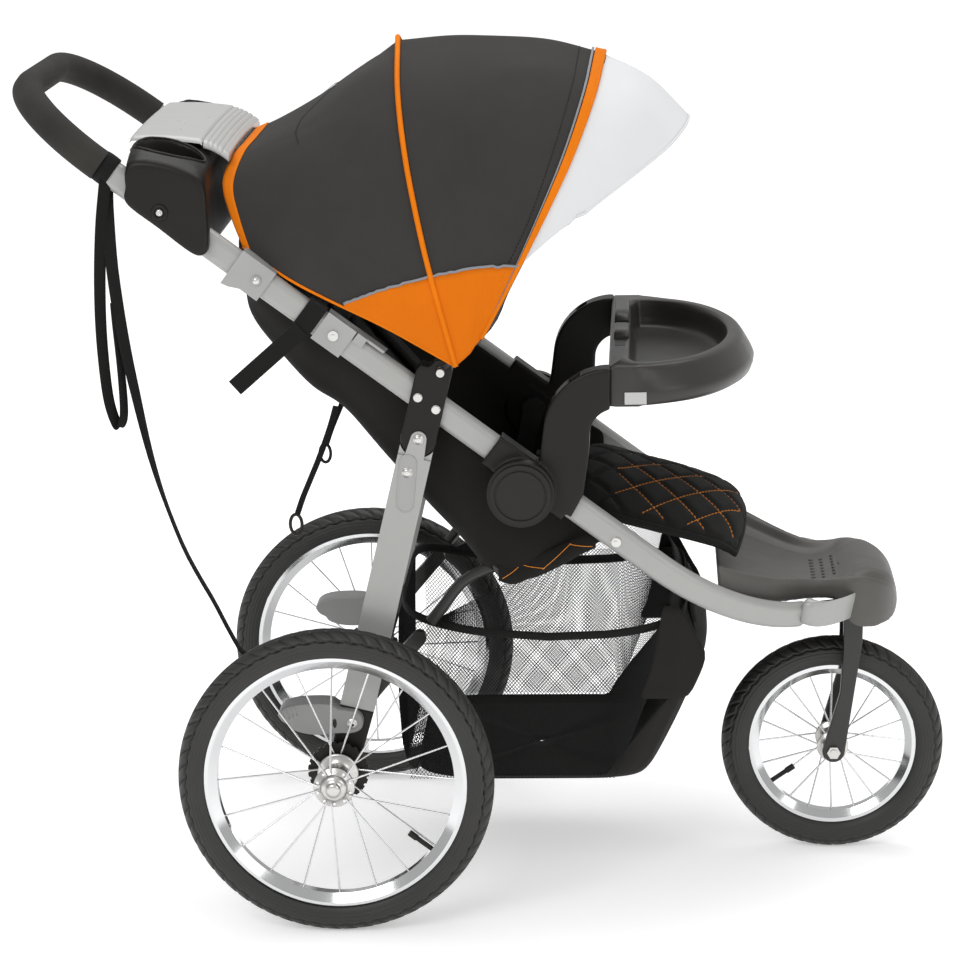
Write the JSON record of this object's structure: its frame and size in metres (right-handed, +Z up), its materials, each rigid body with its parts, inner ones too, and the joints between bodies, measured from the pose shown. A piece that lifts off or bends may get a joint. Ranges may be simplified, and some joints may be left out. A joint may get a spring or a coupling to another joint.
{
  "type": "stroller",
  "caption": "Three-wheeled jogging stroller with a folding silver frame, hooded fabric seat, child tray and parent console.",
  "frame": {"origin": "On the ground, under the middle of the length and width.", "axes": "+X forwards towards the front wheel, +Y to the stroller's left, +Z up."},
  "size_m": [1.183, 0.644, 1.106],
  "materials": {
    "silver_tube": "satin silver powder coat on tubes",
    "dark_plastic": "matt charcoal moulded nylon",
    "tray_plastic": "fine-textured grey-black polypropylene",
    "grey_plastic": "matt mid-grey moulding",
    "pale_plastic": "satin silver-grey moulding",
    "red_plastic": "satin red moulding",
    "black_fabric": "black woven polyester",
    "canopy_fabric": "charcoal and orange woven polyester",
    "visor_fabric": "silver-white reflective cloth",
    "webbing": "black nylon webbing",
    "foam_grip": "closed-cell black foam",
    "tyre_rubber": "black tyre rubber with fine tread",
    "chrome_rim": "polished rim",
    "spoke_steel": "drawn steel wire",
    "black_steel": "black powder coat",
    "bright_steel": "zinc-plated steel"
  },
  "bodies": {
    "frame": {"side_tube_l": "silver_tube", "side_tube_r": "silver_tube", "front_cover": "tray_plastic", "head_tube": "black_steel", "hinge_brackets": "silver_tube", "leg_bracket_l": "dark_plastic", "leg_bracket_r": "dark_plastic", "arm_l": "dark_plastic", "arm_r": "dark_plastic", "hub_caps": "dark_plastic", "seat_bar": "black_steel", "seat_tub": "black_fabric", "seat_pad": "black_fabric", "basket": "black_fabric", "harness": "webbing", "frame_rivets": "bright_steel", "recline_strap_l": "webbing", "recline_strap_r": "webbing"},
    "handle": {"handle_tube": "silver_tube", "handle_grip": "foam_grip", "console": "dark_plastic", "storage_strap": "webbing", "tether": "webbing"},
    "lid": {"console_lid": "pale_plastic"},
    "latch_l": {"fold_latch_l": "grey_plastic"},
    "latch_r": {"fold_latch_r": "grey_plastic"},
    "legs": {"rear_leg_l": "silver_tube", "rear_leg_r": "silver_tube", "axle_brackets": "dark_plastic", "rear_axle": "bright_steel"},
    "pedal_l": {"brake_pedal_l": "grey_plastic"},
    "pedal_r": {"brake_pedal_r": "grey_plastic"},
    "upper_brace": {"upper_braces": "black_steel"},
    "lower_brace": {"lower_braces": "black_steel"},
    "wheel_l": {"rear_tyre_l": "tyre_rubber", "rear_rim_l": "chrome_rim", "rear_spokes_l": "spoke_steel", "rear_hub_l": "bright_steel", "brake_disc_l": "dark_plastic"},
    "wheel_r": {"rear_tyre_r": "tyre_rubber", "rear_rim_r": "chrome_rim", "rear_spokes_r": "spoke_steel", "rear_hub_r": "bright_steel", "brake_disc_r": "dark_plastic"},
    "fork_assembly": {"fork": "black_steel", "front_axle": "bright_steel"},
    "wheel_front": {"front_tyre": "tyre_rubber", "front_rim": "chrome_rim", "front_spokes": "spoke_steel", "front_hub": "bright_steel"},
    "steer_lock": {"swivel_lock": "red_plastic"},
    "canopy_mid": {"mid_bow": "black_steel", "canopy_rear": "canopy_fabric"},
    "canopy_front_bow": {"front_bow": "black_steel", "canopy_front": "canopy_fabric"},
    "visor_panel": {"visor": "visor_fabric"},
    "snack_tray": {"tray": "tray_plastic"},
    "button_l": {"tray_button_l": "pale_plastic"},
    "button_r": {"tray_button_r": "pale_plastic"},
    "back_pad": {"backrest": "black_fabric"}
  },
  "joints": [
    {"name": "handle_fold", "type": "hinge", "parent": "frame", "child": "handle", "pos_m": [-0.184, 0, 0.761], "axis": [0, -1, 0], "range_deg": [0, 93], "deforming": ["tether", "storage_strap"]},
    {"name": "leg_fold", "type": "hinge", "parent": "frame", "child": "legs", "pos_m": [-0.082, 0, 0.63], "axis": [0, -1, 0], "range_deg": [0, 38], "deforming": ["basket"]},
    {"name": "upper_brace_fold", "type": "hinge", "parent": "frame", "child": "upper_brace", "pos_m": [0.019, 0, 0.456], "axis": [0, 1, 0], "range_deg": [0, 25]},
    {"name": "lower_brace_fold", "type": "hinge", "parent": "legs", "child": "lower_brace", "pos_m": [-0.155, 0, 0.285], "axis": [0, 1, 0], "range_deg": [0, 67]},
    {"name": "latch_l_slide", "type": "slide", "parent": "handle", "child": "latch_l", "axis": [-0.7955, 0, 0.606], "range_m": [0, 0.018], "stiffness_N_per_m": 200},
    {"name": "latch_r_slide", "type": "slide", "parent": "handle", "child": "latch_r", "axis": [-0.7955, 0, 0.606], "range_m": [0, 0.018], "stiffness_N_per_m": 200},
    {"name": "console_lid_hinge", "type": "hinge", "parent": "handle", "child": "lid", "pos_m": [-0.347, 0, 0.99], "axis": [0, 1, 0], "range_deg": [0, 80]},
    {"name": "wheel_l_spin", "type": "hinge", "parent": "legs", "child": "wheel_l", "pos_m": [-0.195, 0.285, 0.2], "axis": [0, 1, 0], "continuous": true},
    {"name": "wheel_r_spin", "type": "hinge", "parent": "legs", "child": "wheel_r", "pos_m": [-0.195, -0.285, 0.2], "axis": [0, 1, 0], "continuous": true},
    {"name": "pedal_l_press", "type": "hinge", "parent": "legs", "child": "pedal_l", "pos_m": [-0.176, 0.245, 0.262], "axis": [0, -1, 0], "range_deg": [0, 18]},
    {"name": "pedal_r_press", "type": "hinge", "parent": "legs", "child": "pedal_r", "pos_m": [-0.176, -0.245, 0.262], "axis": [0, -1, 0], "range_deg": [0, 18]},
    {"name": "fork_swivel", "type": "hinge", "parent": "frame", "child": "fork_assembly", "pos_m": [0.47, 0, 0.36], "axis": [0, 0, 1], "continuous": true},
    {"name": "front_wheel_spin", "type": "hinge", "parent": "fork_assembly", "child": "wheel_front", "pos_m": [0.444, 0, 0.148], "axis": [0, 1, 0], "continuous": true},
    {"name": "swivel_lock_flip", "type": "hinge", "parent": "fork_assembly", "child": "steer_lock", "pos_m": [0.495, 0, 0.32], "axis": [0, 1, 0], "range_deg": [0, 35]},
    {"name": "canopy_mid_fold", "type": "hinge", "parent": "frame", "child": "canopy_mid", "pos_m": [-0.052, 0, 0.716], "axis": [0, -1, 0], "range_deg": [0, 16], "deforming": ["canopy_rear"]},
    {"name": "canopy_front_fold", "type": "hinge", "parent": "canopy_mid", "child": "canopy_front_bow", "pos_m": [-0.052, 0, 0.716], "axis": [0, -1, 0], "range_deg": [0, 26], "deforming": ["canopy_front"]},
    {"name": "visor_tuck", "type": "hinge", "parent": "canopy_front_bow", "child": "visor_panel", "pos_m": [0.071, 0, 0.862], "axis": [0, 1, 0], "range_deg": [-24, 0], "deforming": ["visor"]},
    {"name": "tray_slide", "type": "slide", "parent": "frame", "child": "snack_tray", "axis": [1, 0, 0], "range_m": [0, 0.06]},
    {"name": "tray_button_l_press", "type": "slide", "parent": "snack_tray", "child": "button_l", "axis": [0, -1, 0], "range_m": [0, 0.0015], "stiffness_N_per_m": 200},
    {"name": "tray_button_r_press", "type": "slide", "parent": "snack_tray", "child": "button_r", "axis": [0, 1, 0], "range_m": [0, 0.0015], "stiffness_N_per_m": 200},
    {"name": "backrest_recline", "type": "hinge", "parent": "frame", "child": "back_pad", "pos_m": [-0.005, 0, 0.5], "axis": [0, 1, 0], "range_deg": [0, 20], "deforming": ["recline_strap_l", "recline_strap_r"]}
  ],
  "couplings": [
    {"joint": "leg_fold", "follows": "handle_fold", "ratio": 0.39},
    {"joint": "upper_brace_fold", "follows": "handle_fold", "ratio": 0.246},
    {"joint": "lower_brace_fold", "follows": "handle_fold", "ratio": 0.6825},
    {"joint": "canopy_front_fold", "follows": "canopy_mid_fold", "ratio": 1.6}
  ]
}
